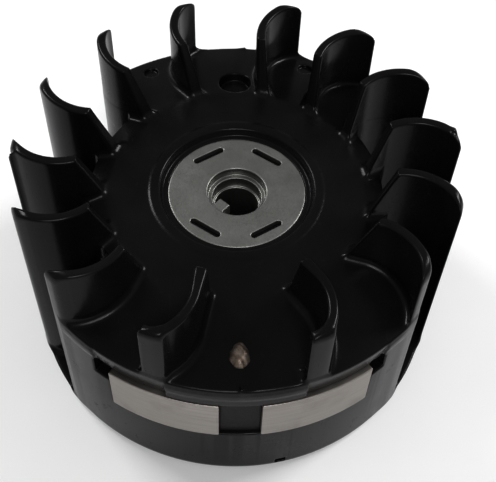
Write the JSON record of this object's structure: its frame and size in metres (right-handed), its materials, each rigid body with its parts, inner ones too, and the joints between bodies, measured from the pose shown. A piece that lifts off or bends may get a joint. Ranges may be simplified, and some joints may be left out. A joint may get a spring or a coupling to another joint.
{
  "type": "flywheel",
  "caption": "Small-engine fan flywheel: black moulded rim with curved blades, keyed metal hub insert, and a magnet with two steel pole shoes.",
  "frame": {"origin": "on the crankshaft axis, in the plane that the open side of the rim stands on", "axes": "+Z along the axis towards the blades, -Y towards the magnet, +X to the right of the magnet"},
  "size_m": [0.0999, 0.1, 0.057],
  "materials": {
    "moulding": "semi-gloss black, moulded",
    "hub_metal": "matte sintered metal",
    "ground_steel": "ground on the outside face",
    "magnet": "dark coated",
    "copper": "dull copper-coloured head"
  },
  "bodies": {
    "root": {"centre_disc": "moulding", "front_disc": "moulding", "back_disc": "moulding", "hub_boss": "moulding", "drum": "moulding", "front_skirt": "moulding", "back_skirt": "moulding", "floor_ring_left": "moulding", "floor_ring_right": "moulding", "magnet_housing": "moulding", "hub_insert": "hub_metal", "pole_shoe_left": "ground_steel", "pole_shoe_right": "ground_steel", "ignition_magnet": "magnet", "retaining_pin": "copper", "fan_blade_01": "moulding", "fan_blade_02": "moulding", "fan_blade_03": "moulding", "fan_blade_04": "moulding", "fan_blade_05": "moulding", "fan_blade_06": "moulding", "fan_blade_07": "moulding", "fan_blade_08": "moulding", "fan_blade_09": "moulding", "fan_blade_10": "moulding", "fan_blade_11": "moulding", "fan_blade_12": "moulding", "fan_blade_13": "moulding", "fan_blade_14": "moulding"}
  },
  "joints": []
}
